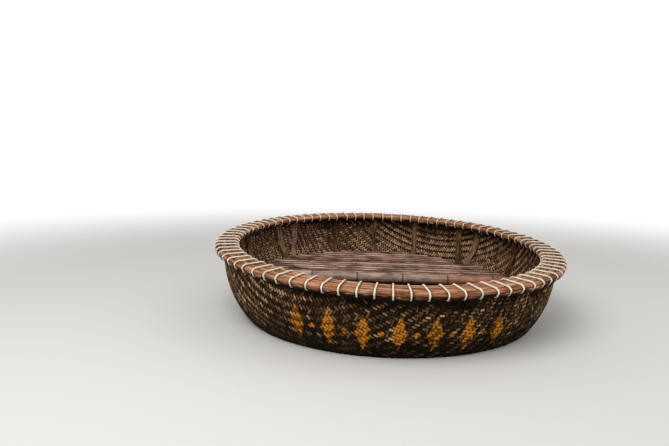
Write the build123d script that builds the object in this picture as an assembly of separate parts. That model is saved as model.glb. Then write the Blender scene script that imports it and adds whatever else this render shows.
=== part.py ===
from build123d import *
import math
import os

# A round basket boat: a woven bamboo bowl with a lashed split-bamboo rim,
# bent ribs inside and a slatted bench across its rear half.
# Millimetres. Z is up and the origin is at the middle of the flat bottom.
# The bench lies on the +Y side, and its slats and its front pole run along X.

# Bowl: a flat middle, a bottom arc, a side arc and an upright top
flat_radius = 317.0
wall_radius = 946.0
wall_thickness = 10.0
side_arc_radius = 500.0
bilge_angle = 40.0
upright_wall = 59.0

# Rim: two hoops that grip the wall, and flat strips on top of them
outer_hoop_width = 54.0
inner_hoop_width = 66.0
hoop_height = 24.0
hoop_round = 16.0
strip_count = 4
strip_thickness = 14.0
strip_gap = 3.0
strip_edge_bevel = 3.0
rim_shoulder = 12.0
scarf_gap = 2.0
scarf_slant = 58.0
outer_scarf_azimuth = 205.0
inner_scarf_azimuth = 25.0
strip_scarf_start = 70.0
strip_scarf_step = 97.0

# Lashings round the rim
lashing_count = 80
lashing_nodes = 4
lashing_phase = 1.2
cord_width = 8.0
cord_thickness = 5.0

# Ribs
rib_count = 5
end_rib_inset = 336.0
rib_width = 34.0
rib_thickness = 9.0

# Bench
bench_drop = 265.0
pole_place = 200.0
pole_diameter = 58.0
pole_rise = 8.0
knot_pitch = 290.0
knot_start = 500.0
knot_rise = 2.5
knot_width = 9.0
slat_count = 11
slat_gap = 5.0
slat_thickness = 12.0
slat_crown = 4.0
rear_slat_length = 507.0
bearer_diameter = 42.0
end_bearer_inset = 216.0

# Clearances
seat_clearance = 0.3
slat_end_clearance = 6.0

# Values that follow from the sizes above
turn = math.radians(bilge_angle)
bottom_arc_radius = (wall_radius - flat_radius - side_arc_radius * (1 - math.sin(turn))) / math.sin(turn)
side_centre_radius = wall_radius - side_arc_radius
upright_height = bottom_arc_radius * (1 - math.cos(turn)) + side_arc_radius * math.cos(turn)
strip_base = upright_height + upright_wall
overall_height = strip_base + strip_thickness
hoop_base = strip_base - hoop_height
wall_inner_radius = wall_radius - wall_thickness
rim_outer_radius = wall_radius + outer_hoop_width
rim_inner_radius = wall_inner_radius - inner_hoop_width
rib_top = hoop_base - cord_thickness - seat_clearance
bench_height = overall_height - bench_drop
slat_base = bench_height - slat_thickness
pole_height = bench_height + pole_rise - pole_diameter / 2
bearer_height = slat_base - bearer_diameter / 2
last_rib = wall_inner_radius - end_rib_inset
rib_pitch = 2 * last_rib / (rib_count - 1)
last_bearer = wall_inner_radius - end_bearer_inset
first_slat = pole_place + pole_diameter / 2 + slat_gap
slat_inset = wall_thickness + 2 * rib_thickness + slat_end_clearance
reach = 2 * rim_outer_radius


def arc_point(centre, radius, angle):
    """Point of an arc, with the angle in degrees from straight down."""
    return (centre[0] + radius * math.sin(math.radians(angle)), centre[1] - radius * math.cos(math.radians(angle)))


def quarter(start, end, centre):
    """Quarter of a circle from start to end, round a centre."""
    radius = math.dist(start, centre)
    middle = ((start[0] + end[0]) / 2 - centre[0], (start[1] + end[1]) / 2 - centre[1])
    scale = radius / math.hypot(*middle)
    return ThreePointArc(start, (centre[0] + middle[0] * scale, centre[1] + middle[1] * scale), end)


def spin(edges):
    """Solid of revolution about Z from a closed outline in radius and height."""
    return revolve(make_face([Plane.XZ * edge for edge in edges]), Axis.Z)


def bowl(inset, top):
    """Everything inside the bowl's outer surface moved inward by inset, up to the height top."""
    bottom_centre = (flat_radius, bottom_arc_radius)
    side_centre = (side_centre_radius, upright_height)
    bottom_radius = bottom_arc_radius - inset
    side_radius = side_arc_radius - inset
    start = (flat_radius, inset)
    bilge = arc_point(bottom_centre, bottom_radius, bilge_angle)
    upright = (wall_radius - inset, upright_height)
    return spin([
        Line((0, top), (0, inset)),
        Line((0, inset), start),
        ThreePointArc(start, arc_point(bottom_centre, bottom_radius, bilge_angle / 2), bilge),
        ThreePointArc(bilge, arc_point(side_centre, side_radius, (bilge_angle + 90) / 2), upright),
        Line(upright, (wall_radius - inset, top)),
        Line((wall_radius - inset, top), (0, top)),
    ])


def bowl_radius(inset, height):
    """Radius of the inset bowl surface at a height above the bilge's turn."""
    drop = max(0.0, upright_height - height)
    return side_centre_radius + math.sqrt((side_arc_radius - inset) ** 2 - drop**2)


def cut_scarf(ring, azimuth, radius, width, turned_about):
    """Open the ring with a slanted scarf, where the two ends of the bent length meet."""
    if turned_about == "Z":
        slant = Rotation(0, 0, scarf_slant)
    else:
        slant = Rotation(scarf_slant, 0, 0)
    blade = slant * Box(4 * width, scarf_gap, 4 * width)
    return ring - Rotation(0, 0, azimuth) * Pos(radius, 0, strip_base) * blade


def hoop(wall, edge, azimuth):
    """Split culm bent round the boat, flat on the wall, with its far lower corner rounded."""
    away = math.copysign(hoop_round, edge - wall)
    low = hoop_base
    ring = spin([
        Line((wall, low), (edge - away, low)),
        quarter((edge - away, low), (edge, low + hoop_round), (edge - away, low + hoop_round)),
        Line((edge, low + hoop_round), (edge, strip_base)),
        Line((edge, strip_base), (wall, strip_base)),
        Line((wall, strip_base), (wall, low)),
    ])
    return cut_scarf(ring, azimuth, (wall + edge) / 2, abs(edge - wall), "X")


def strip_corner(corner, inward, outermost):
    """Size and edge of a strip's upper corner: round where it is the rim's shoulder, bevelled elsewhere."""
    cut = rim_shoulder if outermost else strip_edge_bevel
    low = (corner[0], corner[1] - cut)
    high = (corner[0] + inward * cut, corner[1])
    if outermost:
        return cut, quarter(low, high, (high[0], low[1]))
    return cut, Line(low, high)


def rim_strip(index):
    """One of the flat split strips that run side by side round the top of the rim."""
    span = rim_outer_radius - rim_inner_radius
    width = (span - (strip_count - 1) * strip_gap) / strip_count
    near = rim_inner_radius + index * (width + strip_gap)
    far = near + width
    top = overall_height
    inner_cut, inner_edge = strip_corner((near, top), 1, index == 0)
    outer_cut, outer_edge = strip_corner((far, top), -1, index == strip_count - 1)
    ring = spin([
        Line((near, strip_base), (far, strip_base)),
        Line((far, strip_base), (far, top - outer_cut)),
        outer_edge,
        Line((far - outer_cut, top), (near + inner_cut, top)),
        inner_edge,
        Line((near, top - inner_cut), (near, strip_base)),
    ])
    azimuth = strip_scarf_start + index * strip_scarf_step
    return cut_scarf(ring, azimuth, near + width / 2, width, "Z")


def rim_wrap(out):
    """Edges that run round the rim's section at a distance out, from the wall outside to the wall inside."""
    low, high = hoop_base, overall_height
    right, left = rim_outer_radius, rim_inner_radius - seat_clearance
    shoulder, belly = rim_shoulder, hoop_round
    outer_end = wall_radius + seat_clearance
    inner_end = wall_inner_radius - seat_clearance
    return [
        Line((outer_end, low - out), (right - belly, low - out)),
        quarter((right - belly, low - out), (right + out, low + belly), (right - belly, low + belly)),
        Line((right + out, low + belly), (right + out, high - shoulder)),
        quarter((right + out, high - shoulder), (right - shoulder, high + out), (right - shoulder, high - shoulder)),
        Line((right - shoulder, high + out), (left + shoulder, high + out)),
        quarter((left + shoulder, high + out), (left - out, high - shoulder), (left + shoulder, high - shoulder)),
        Line((left - out, high - shoulder), (left - out, low + belly)),
        quarter((left - out, low + belly), (left + belly, low - out), (left + belly, low + belly)),
        Line((left + belly, low - out), (inner_end, low - out)),
    ]


def lashing():
    """One turn of cord at azimuth 0, laid on the rim and ending on both faces of the wall."""
    inside = rim_wrap(0)
    outside = rim_wrap(cord_thickness)
    ends = [Line(inside[0] @ 0, outside[0] @ 0), Line(inside[-1] @ 1, outside[-1] @ 1)]
    face = make_face([Plane.XZ * edge for edge in inside + outside + ends])
    return extrude(face, cord_width / 2, both=True)


def lashings(group):
    """A run of neighbouring lashings, one quarter of the way round the rim."""
    turn_of_cord = lashing()
    step = 360 / lashing_count
    members = [i for i in range(lashing_count) if i * lashing_nodes // lashing_count == group]
    return Compound([Rotation(0, 0, lashing_phase - 90 + i * step) * turn_of_cord for i in members])


def rib(along, offset, layer):
    """Split-bamboo rib bent down one side of the bowl, across its floor and up the other side."""
    outside = wall_thickness + layer * rib_thickness
    lining = bowl(outside, rib_top) - bowl(outside + rib_thickness, rib_top)
    if along == "Y":
        slab = Pos(offset, 0, 0) * Box(rib_width, reach, reach)
    else:
        slab = Pos(0, offset, 0) * Box(reach, rib_width, reach)
    return lining & slab


def pole_rod(clearance):
    """Round bar of the front pole's size and place, wider by a clearance all round."""
    return Pos(0, pole_place, pole_height) * Rotation(0, 90, 0) * Cylinder(pole_diameter / 2 + clearance, reach)


def knot(place):
    """Swollen ring where one joint of the culm ends and the next begins."""
    radius = pole_diameter / 2
    half = knot_width / 2
    outline = make_face([
        Plane.XY * Line((place - half, 0), (place + half, 0)),
        Plane.XY * Line((place + half, 0), (place + half, radius)),
        Plane.XY * ThreePointArc((place + half, radius), (place, radius + knot_rise), (place - half, radius)),
        Plane.XY * Line((place - half, radius), (place - half, 0)),
    ])
    return Pos(0, pole_place, pole_height) * revolve(outline, Axis.X)


def bench_pole():
    """Round culm along the front of the bench, its ends bearing on the wall."""
    pole = pole_rod(0)
    half = bowl_radius(wall_thickness, pole_height)
    place = knot_start
    while place > knot_pitch - half:
        pole = pole + knot(place)
        place -= knot_pitch
    return pole & bowl(wall_thickness + seat_clearance, strip_base)


def bench_bearer(place):
    """Round bearer under the slats, coped to the front pole and bearing on the rear wall."""
    rod = Rotation(90, 0, 0) * Cylinder(bearer_diameter / 2, reach)
    rod = Pos(place, pole_place + reach / 2, bearer_height) * rod
    return (rod & bowl(wall_thickness + seat_clearance, strip_base)) - pole_rod(seat_clearance)


def bench_slat(index):
    """Split-bamboo slat with a crowned top, cut square a little short of the ribs at both ends."""
    limit = bowl_radius(slat_inset, slat_base)
    rear = math.sqrt(limit**2 - (rear_slat_length / 2) ** 2)
    slat_pitch = (rear - first_slat + slat_gap) / slat_count
    slat_width = slat_pitch - slat_gap
    near = first_slat + index * slat_pitch
    far = near + slat_width
    half_length = math.sqrt(limit**2 - far**2)
    shoulder = bench_height - slat_crown
    face = make_face([
        Plane.YZ * Line((near, slat_base), (far, slat_base)),
        Plane.YZ * Line((far, slat_base), (far, shoulder)),
        Plane.YZ * ThreePointArc((far, shoulder), (near + slat_width / 2, bench_height), (near, shoulder)),
        Plane.YZ * Line((near, shoulder), (near, slat_base)),
    ])
    return extrude(face, half_length, both=True)


def pieces():
    """Every piece by name."""
    made = {}
    made["hull_mat"] = bowl(0, strip_base) - bowl(wall_thickness, strip_base)
    made["rim_outer_hoop"] = hoop(wall_radius, rim_outer_radius, outer_scarf_azimuth)
    made["rim_inner_hoop"] = hoop(wall_inner_radius, rim_inner_radius, inner_scarf_azimuth)
    for index in range(strip_count):
        made[f"rim_top_strip_{index + 1}"] = rim_strip(index)
    for group in range(lashing_nodes):
        made[f"rim_lashings_{group + 1}"] = lashings(group)
    for index in range(rib_count):
        offset = index * rib_pitch - last_rib
        made[f"rib_lengthwise_{index + 1}"] = rib("Y", offset, 0)
        made[f"rib_crosswise_{index + 1}"] = rib("X", offset, 1)
    made["bench_front_pole"] = bench_pole()
    inner_bearers = [(index + 0.5) * rib_pitch - last_rib for index in range(rib_count - 1)]
    for index, place in enumerate([-last_bearer, *inner_bearers, last_bearer]):
        made[f"bench_bearer_{index + 1}"] = bench_bearer(place)
    for index in range(slat_count):
        made[f"bench_slat_{index + 1:02d}"] = bench_slat(index)
    return made


os.makedirs("parts", exist_ok=True)
for node, shape in pieces().items():
    export_step(shape, f"parts/{node}.step")
    print(node, round(shape.volume))
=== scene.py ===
import math
import random
from functools import partial

import bmesh
import bpy
import numpy as np
from mathutils import Matrix, Vector


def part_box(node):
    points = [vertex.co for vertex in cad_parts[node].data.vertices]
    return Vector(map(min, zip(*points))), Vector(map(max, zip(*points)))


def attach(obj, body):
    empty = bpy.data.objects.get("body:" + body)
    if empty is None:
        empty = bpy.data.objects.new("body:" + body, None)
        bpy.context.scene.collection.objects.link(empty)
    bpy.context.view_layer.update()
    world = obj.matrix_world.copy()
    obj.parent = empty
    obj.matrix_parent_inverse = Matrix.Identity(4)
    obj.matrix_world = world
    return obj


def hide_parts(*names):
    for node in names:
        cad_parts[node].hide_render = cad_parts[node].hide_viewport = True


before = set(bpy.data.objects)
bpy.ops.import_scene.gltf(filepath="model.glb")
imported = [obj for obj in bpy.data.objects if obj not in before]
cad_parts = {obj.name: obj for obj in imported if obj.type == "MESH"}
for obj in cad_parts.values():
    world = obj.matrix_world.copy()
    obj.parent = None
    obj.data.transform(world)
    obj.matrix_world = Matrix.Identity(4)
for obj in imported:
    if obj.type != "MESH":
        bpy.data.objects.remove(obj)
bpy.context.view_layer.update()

bl_info = {
    "name": "Woven basket boat",
    "version": (1, 0, 0),
    "blender": (4, 5, 0),
    "location": "3D View > Sidebar > Basket boat",
    "description": "Dresses a woven bamboo boat: resin-coated mat, lashed rim, ribs and slatted bench",
    "category": "Object",
}

# A round basket boat, in metres. Z is up, the origin is at the middle of the flat bottom, and the bench is
# on the +Y side. The mat is one flat sheet of twill weave, pressed into a bowl: a place in the flat mat is
# as far from the bowl's middle, along the curve of the wall, as it was from the middle of the sheet.


# Colours

def linear(code):
    """Scene-linear colour of an sRGB hex code."""
    parts = [int(code[i:i + 2], 16) / 255 for i in (1, 3, 5)]
    return tuple(p / 12.92 if p <= 0.04045 else ((p + 0.055) / 1.055) ** 2.4 for p in parts)


def colour(label, description, code):
    """A colour that a user can change, given as an sRGB hex code."""
    return bpy.props.FloatVectorProperty(
        name=label, description=description, subtype="COLOR", size=3, min=0.0, max=1.0, default=linear(code))


def length(label, description, metres, least=0.0):
    """A length that a user can change, in metres."""
    return bpy.props.FloatProperty(
        name=label, description=description, unit="LENGTH", precision=4, min=least, default=metres)


def number(label, description, value):
    """A plain number that a user can change."""
    return bpy.props.FloatProperty(name=label, description=description, default=value)


def angle(label, description, degrees):
    """An angle that a user can change, given in degrees."""
    return bpy.props.FloatProperty(
        name=label, description=description, subtype="ANGLE", default=math.radians(degrees))


def count(label, description, copies):
    """A number of copies that a user can change."""
    return bpy.props.IntProperty(name=label, description=description, min=1, default=copies)


# Sizes and colours of the boat

class BowlSizes(bpy.types.PropertyGroup):
    """Section of the bowl: a flat middle, a bottom arc, a side arc and an upright top."""
    flat: length("Flat middle", "Radius of the flat middle of the bottom", 0.317)
    bottom_arc: length("Bottom arc", "Radius of the arc from the flat middle to the bilge", 0.7007)
    side_arc: length("Side arc", "Radius of the arc from the bilge to the upright wall", 0.5)
    bilge: angle("Bilge angle", "Slope where the bottom arc meets the side arc", 40.0)
    wall: length("Wall radius", "Outer radius of the upright wall", 0.946)
    thickness: length("Mat thickness", "Thickness of the mat with its resin", 0.010)


class WeaveSizes(bpy.types.PropertyGroup):
    """The twill weave: each strand goes over two others and then under two."""
    pitch: length("Strand pitch", "From one strand to the next, in the flat mat", 0.0155)
    half_width: length("Half width", "Half the width of a strand where it meets the resin", 0.0074)
    half_length: length("Half length", "Half the length of a strand from one dive to the next", 0.0172)
    level: length("Level part", "Half the length of the level part of a float", 0.0104)
    crown: length("Crown", "Height of a float over the resin", 0.0027)
    flat_share: number("Flat share", "Share of a float's width that is flat on top", 0.52)
    root: length("Root", "Depth of a float's edges in the resin", 0.0012)
    wander: length("Wander", "How far the strands stray together from straight lines", 0.008)
    top: length("Top of the weave", "Length along the wall, from the middle to where the hoops begin", 1.276)
    # painted shade: the strands along Y are painted darker, for the highlights that only the strands along X
    # catch
    dull: number("Dull family", "How much darker the strands along Y are", 0.21)
    turn: angle("Mat turn", "How far the mat is turned in the bowl", 15.0)


class RimSizes(bpy.types.PropertyGroup):
    """The rim: two hoops that grip the wall, four flat strips on top and cord lashings."""
    outer: length("Outer radius", "Radius of the rim's outer face", 1.0)
    inner: length("Inner radius", "Radius of the rim's inner face", 0.870)
    hoop_base: length("Hoop base", "Height of the underside of the hoops", 0.58197)
    strip_base: length("Strip base", "Height of the underside of the top strips", 0.60597)
    top: length("Rim top", "Height of the rim's top", 0.61997)
    strips: count("Top strips", "Number of strips side by side", 4)
    strip_gap: length("Strip gap", "Space between the top strips", 0.003)
    shoulder: length("Shoulder", "Radius of the rim's two upper edges", 0.012)
    belly: length("Belly", "Radius of the lower edges of the hoops", 0.016)
    ease: length("Ease", "Width over which the rim's two upper edges fall away", 0.026)
    fall: length("Fall", "How far the rim's two upper edges fall", 0.005)
    pinch: length("Pinch", "How far the cord pulls the hoops in", 0.010)
    outer_scarf: angle("Outer scarf", "Azimuth where the ends of the outer hoop meet", 205.0)
    inner_scarf: angle("Inner scarf", "Azimuth where the ends of the inner hoop meet", 25.0)
    strip_scarf: angle("Strip scarf", "Azimuth where the ends of the first top strip meet", 70.0)
    strip_scarf_step: angle("Strip scarf step", "From the scarf of one top strip to the next", 97.0)
    lashings: count("Lashings", "Number of turns of cord round the rim", 80)
    first_lashing: angle("First lashing", "Azimuth of the first lashing", -88.8)
    cord: length("Cord", "Diameter of the lashing cord", 0.0086)
    lay: length("Lay", "Length of one twist of the three strands of the cord", 0.040)


class BenchSizes(bpy.types.PropertyGroup):
    """The ribs of the bowl and the slatted bench over its rear half."""
    crown: length("Slat crown", "Rise of a slat's middle over its edges", 0.004)
    edge: length("Slat edge", "Roundness of a slat's edges", 0.0018)
    joint_pitch: length("Joint pitch", "From one joint of the split bamboo to the next", 0.31)
    joint_rise: length("Joint rise", "Height of a joint over the slat or rib", 0.0018)
    joint_width: length("Joint width", "Width of a joint along the bamboo", 0.014)
    rib_round: length("Rib round", "Roundness of a rib's two inner edges", 0.006)
    culm_knot: length("Culm knot", "Place of a knot of the front pole along X", 0.425)
    culm_pitch: length("Culm pitch", "From one knot of the front pole to the next", 0.290)


class PaintSizes(bpy.types.PropertyGroup):
    """A row of painted lozenges and dots on the near side."""
    middle: angle("Middle", "Azimuth of the middle of the row", -90.9)
    reach: angle("Reach", "From the middle of the row to either end", 34.8)
    lozenges: count("Lozenges", "Number of lozenges in the row", 7)
    height: length("Height", "Height of the row's middle line", 0.402)
    half_height: length("Half height", "Half the height of a lozenge", 0.098)
    half_width: length("Half width", "Half the width of a lozenge", 0.040)
    dot: length("Dot", "Radius of the dots between the lozenges", 0.015)
    radius: length("Painted radius", "Radius of the wall along the row", 0.93)


class BoatColours(bpy.types.PropertyGroup):
    """Colours of the boat's materials."""
    # resin is also the near black of the painted shade under the hoops
    resin: colour("Resin", "Dark resin in the gaps of the mat", "#0f0903")
    # worn resin is also the colour of the painted shade, with dirt, beside the cords on the rim
    resin_worn: colour("Worn resin", "Resin where water and feet have dulled it", "#281a0d")
    strand_dark: colour("Coated strand", "Mat strand that is still under resin", "#35230f")
    strand: colour("Strand", "Mat strand with thin resin", "#755530")
    strand_bare: colour("Bare strand", "Mat strand worn bare", "#caa578")
    inside_dark: colour("Smoked strand", "Mat strand on the inside, dark with smoke and dirt", "#60432b")
    inside_strand: colour("Inside strand", "Mat strand on the inside of the bowl", "#a37850")
    inside_bare: colour("Inside bare strand", "Bare strand on the inside of the bowl", "#cba57e")
    paint: colour("Paint", "Old orange-yellow paint", "#ad6414")
    paint_light: colour("Light paint", "Paint where it is thick", "#dc9636")
    rim_dark: colour("Rim dark", "Weathered grain of the rim", "#643a20")
    rim: colour("Rim", "Bamboo of the rim", "#b07047")
    rim_light: colour("Rim light", "Rim bamboo where it is rubbed pale", "#dba06f")
    cord: colour("Cord", "Lashing cord", "#fff5df")
    # dirty cord is also the colour of the cord's darker grooves and of its painted shade low on the rim
    cord_dark: colour("Dirty cord", "Cord with dirt between its strands", "#a48a6c")
    rib_dark: colour("Rib dark", "Shaded grain of the ribs", "#33210f")
    rib: colour("Rib", "Split bamboo of the ribs", "#6b4a2b")
    rib_light: colour("Rib light", "Rib where feet have rubbed it", "#a17c54")
    slat_dark: colour("Slat dark", "Weathered grain of the slats", "#341f14")
    slat: colour("Slat", "Split bamboo of the slats", "#aa7b65")
    slat_light: colour("Slat light", "Slat rubbed pale", "#ecc0a8")
    pole_grey: colour("Grey culm", "Culm where the sun has greyed it", "#a48a7c")
    pole_brown: colour("Brown culm", "Culm with its brown skin", "#ab7a60")
    floor: colour("Floor", "Pale floor", "#e4e2de")


class StageSizes(bpy.types.PropertyGroup):
    """Camera, floor and lights."""
    camera_x: length("Camera X", "Camera position", -0.3214, least=-10.0)
    camera_y: length("Camera Y", "Camera position", -3.1665, least=-10.0)
    camera_z: length("Camera Z", "Camera position", 1.3178, least=-10.0)
    tilt: angle("Camera tilt", "Camera's turn about X", 79.267)
    roll: angle("Camera roll", "Camera's turn about Y", -1.948)
    swing: angle("Camera swing", "Camera's turn about Z", 0.218)
    lens: number("Lens", "Focal length in millimetres", 29.155)
    draught: length("Draught", "Depth of the hull under the floor", 0.2114)
    trim: angle("Trim", "How far the near side lies lower than the far side", 3.54)
    heel: angle("Heel", "How far the right side lies lower than the left side", 1.19)
    floor_reach: length("Floor reach", "How far the floor reaches", 30.0)
    fade_start: length("Fade start", "Distance at which the floor begins to fade to white", 2.2)
    fade_end: length("Fade end", "Distance at which the floor is white", 6.5)
    sky: number("Sky", "Strength of the even light from all round", 0.50)
    key: number("Key", "Power of the large soft light in watts", 125.0)
    fill: number("Fill", "Power of the fill light in watts", 22.0)


# The bowl's surface

def upright_height(bowl):
    """Height where the upright wall begins."""
    return bowl.bottom_arc * (1 - math.cos(bowl.bilge)) + bowl.side_arc * math.cos(bowl.bilge)


def bowl_section(bowl, along):
    """Radius, height and slope of the bowl's outer face, by length along the wall (arrays)."""
    first = bowl.flat + bowl.bottom_arc * bowl.bilge
    second = first + bowl.side_arc * (math.pi / 2 - bowl.bilge)
    low = np.clip((along - bowl.flat) / bowl.bottom_arc, 0, bowl.bilge)
    turn = np.clip(low + np.clip((along - first) / bowl.side_arc, 0, None), 0, math.pi / 2)
    radius = np.where(along < bowl.flat, along, bowl.flat + bowl.bottom_arc * np.sin(low))
    height = bowl.bottom_arc * (1 - np.cos(low))
    side = along > first
    radius = np.where(side, bowl.wall - bowl.side_arc * (1 - np.sin(turn)), radius)
    height = np.where(side, upright_height(bowl) - bowl.side_arc * np.cos(turn), height)
    height = np.where(along > second, upright_height(bowl) + along - second, height)
    return radius, height, turn


def press(bowl, flat_places, lift):
    """Places of the flat mat pressed into the bowl, each moved outward by its lift."""
    along = np.hypot(flat_places[..., 0], flat_places[..., 1])
    azimuth = np.arctan2(flat_places[..., 1], flat_places[..., 0])
    radius, height, turn = bowl_section(bowl, along)
    radius = radius + lift * np.sin(turn)
    height = height - lift * np.cos(turn)
    return np.stack([radius * np.cos(azimuth), radius * np.sin(azimuth), height], -1)


def wall_radius_at(bowl, height):
    """Radius of the bowl's outer face at a height on its side."""
    drop = max(0.0, upright_height(bowl) - height)
    return bowl.wall - bowl.side_arc + math.sqrt(bowl.side_arc ** 2 - drop ** 2)


# Modelling

# vertices nearer to each other than this, in metres, are doubles
DOUBLES = 0.00001
# a vertex within this distance of a place, in metres, is taken to lie there, and a shorter edge collapses
CLOSE_BY = 0.0001
# the inside of the bowl faces this place
OVER_THE_BOWL = Vector((0, 0, 0.75))
# a scarf is turned this far from a square cut, and leaves this gap, in metres, between the two ends
SCARF_SLANT, SCARF_GAP = math.radians(58.0), 0.002
# steps of a strip once round the boat, of one bay of a hoop, and of one turn of cord
STRIP_STEPS, BAY_STEPS, CORD_STEPS = 240, 10, 97
# sides of the cord before it is grooved, three for each of its three strands
CORD_SIDES = 9


def fresh():
    """Object mode with nothing selected."""
    if bpy.context.object and bpy.context.object.mode != "OBJECT":
        bpy.ops.object.mode_set(mode="OBJECT")
    bpy.ops.object.select_all(action="DESELECT")


def activate(piece):
    """Object mode with only this piece selected and active."""
    fresh()
    piece.select_set(True)
    bpy.context.view_layer.objects.active = piece


def edit(piece):
    """Edit mode on the piece."""
    activate(piece)
    bpy.ops.object.mode_set(mode="EDIT")


def edit_all(piece):
    """Edit mode on the piece, with all of it selected."""
    edit(piece)
    bpy.ops.mesh.select_all(action="SELECT")


def pick(piece, kind, test):
    """Select, in edit mode, the vertices, edges or faces that pass the test."""
    bpy.ops.mesh.select_mode(type=kind)
    bpy.ops.mesh.select_all(action="DESELECT")
    shape = bmesh.from_edit_mesh(piece.data)
    items = {"VERT": shape.verts, "EDGE": shape.edges, "FACE": shape.faces}[kind]
    for item in items:
        if test(item):
            item.select_set(True)
    shape.select_flush_mode()
    bmesh.update_edit_mesh(piece.data)


def settle(piece):
    """Put the object at the origin, unturned and unscaled, with its place in its mesh."""
    activate(piece)
    bpy.ops.object.transform_apply(location=True, rotation=True, scale=True)


def slice_at(place, normal):
    """Cut the whole mesh, in edit mode, along a plane."""
    bpy.ops.mesh.select_all(action="SELECT")
    bpy.ops.mesh.bisect(plane_co=place, plane_no=normal)


def spin_round(piece, steps, turn):
    """Turn the outline about the boat's axis, and stay in edit mode."""
    edit_all(piece)
    bpy.ops.mesh.spin(steps=steps, angle=turn, center=(0, 0, 0), axis=(0, 0, 1))


def modify(piece, kind, **settings):
    """Add one modifier with its settings, and apply it."""
    activate(piece)
    modifier = piece.modifiers.new(kind, kind)
    for name, value in settings.items():
        setattr(modifier, name, value)
    bpy.ops.object.modifier_apply(modifier=modifier.name)


def close_up(piece, smooth_angle=35.0):
    """Merge the doubles, point the faces outward and smooth all but the sharp edges."""
    edit_all(piece)
    bpy.ops.mesh.remove_doubles(threshold=DOUBLES)
    bpy.ops.mesh.normals_make_consistent(inside=False)
    activate(piece)
    bpy.ops.object.shade_smooth_by_angle(angle=math.radians(smooth_angle))


def coat(piece, finish):
    """Give the piece this material and no other."""
    piece.data.materials.clear()
    piece.data.materials.append(finish)


def hand_over(piece, name, finish, nodes=()):
    """Name the finished piece, give it its material, and tie it to the boat and the nodes it replaces."""
    piece.name = name
    piece.data.name = name
    coat(piece, finish)
    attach(piece, "root")
    if nodes:
        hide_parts(*nodes)


def make_uneven(piece, name, size, height, kind):
    """Displace the piece in soft random lumps of that size and height, by one of three kinds of noise."""
    texture = bpy.data.textures.new(name, "CLOUDS")
    texture.noise_scale = size
    texture.noise_depth = 1
    texture.noise_basis = ("BLENDER_ORIGINAL", "ORIGINAL_PERLIN", "IMPROVED_PERLIN")[kind % 3]
    modify(piece, "DISPLACE", texture=texture, strength=height, mid_level=0.5, texture_coords="LOCAL")


def joined_copies(template, name, places):
    """One mesh with a copy of the template at each place (a matrix)."""
    copies = []
    for place in places:
        copy = template.copy()
        copy.data = template.data.copy()
        bpy.context.collection.objects.link(copy)
        copy.matrix_world = place
        copies.append(copy)
    fresh()
    for copy in copies:
        copy.select_set(True)
    bpy.context.view_layer.objects.active = copies[0]
    bpy.ops.object.join()
    made = bpy.context.object
    made.name = name
    settle(made)
    return made


# Materials

def add_node(tree, kind, inputs=(), stops=(), **settings):
    """Add a shader node with its settings, its links or constants and its ramp stops.

    The kind may carry the node's operation, or its data type, after a dot.
    """
    kind, _, mode = kind.partition(".")
    node = tree.nodes.new("ShaderNode" + kind)
    if mode:
        setattr(node, "data_type" if kind == "Mix" else "operation", mode)
    for name, value in settings.items():
        setattr(node, name, value)
    for key, value in inputs.items() if isinstance(inputs, dict) else enumerate(inputs):
        socket = node.inputs[key]
        if isinstance(value, bpy.types.Node):
            tree.links.new(value.outputs[0], socket)
        elif isinstance(value, bpy.types.NodeSocket):
            tree.links.new(value, socket)
        elif socket.type == "RGBA":
            socket.default_value = (*value, 1.0)
        else:
            socket.default_value = value
    if stops:
        elements = node.color_ramp.elements
        while len(elements) < len(stops):
            elements.new(1.0)
        for element, (place, shade) in zip(elements, stops):
            element.position = place
            element.color = (*shade, 1.0)
    return node


def start_nodes(owner):
    """Clear the nodes of a material or world, and give back the function that adds one to it."""
    owner.use_nodes = True
    owner.node_tree.nodes.clear()
    return partial(add_node, owner.node_tree)


def new_material(name):
    """An empty material, the function that adds a node to it, and the place on the object."""
    finish = bpy.data.materials.new(name)
    add = start_nodes(finish)
    return finish, add, add("TexCoord").outputs["Object"]


def random_grain(add, place, millimetres, detail, slide=(0, 0, 0), roughness=0.5):
    """Random pattern whose grain is that many millimetres long along each axis."""
    scale = tuple(1000.0 / size for size in millimetres)
    place = add("Mapping", {"Vector": place, "Location": slide, "Scale": scale})
    return add("TexNoise", {"Vector": place, "Scale": 1.0, "Detail": detail, "Roughness": roughness})


def finish_surface(add, base, roughness, relief, relief_mm, specular, **constants):
    """Close the material: the relief as bump, the shader with its constants, and the output."""
    bump = add("Bump", {"Height": relief, "Distance": relief_mm / 1000, "Strength": 1.0})
    inputs = {"Base Color": base, "Roughness": roughness, "Normal": bump, "Specular IOR Level": specular}
    inputs.update({name.replace("_", " ").title(): value for name, value in constants.items()})
    shader = add("BsdfPrincipled", inputs)
    add("OutputMaterial", {"Surface": shader})


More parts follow.
